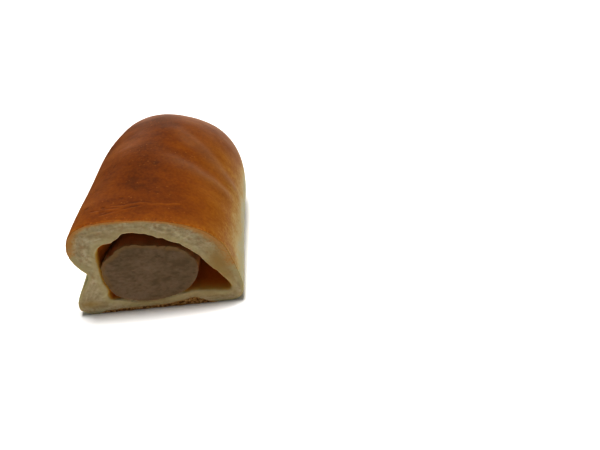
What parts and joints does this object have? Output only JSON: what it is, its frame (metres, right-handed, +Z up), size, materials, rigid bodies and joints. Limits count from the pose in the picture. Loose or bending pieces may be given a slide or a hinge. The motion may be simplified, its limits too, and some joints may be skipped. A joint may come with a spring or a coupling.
{
  "type": "sausage roll half",
  "caption": "Half of a soft-baked sausage roll, cut across: browned bread roll round a sausage that lies in a hollow and shows in the cut face.",
  "frame": {"origin": "on the table, under the middle of the half roll's box", "axes": "+Z up from the flat underside, +Y along the roll from the cut face to the rounded end, +X to the right seen from the cut"},
  "size_m": [0.0522, 0.0824, 0.0379],
  "materials": {
    "bread": "egg-washed brown crust over a pale soft crumb",
    "sausage": "moist cooked minced meat, browner on its skin"
  },
  "bodies": {
    "root": {"bread": "bread", "sausage": "sausage"}
  },
  "joints": []
}
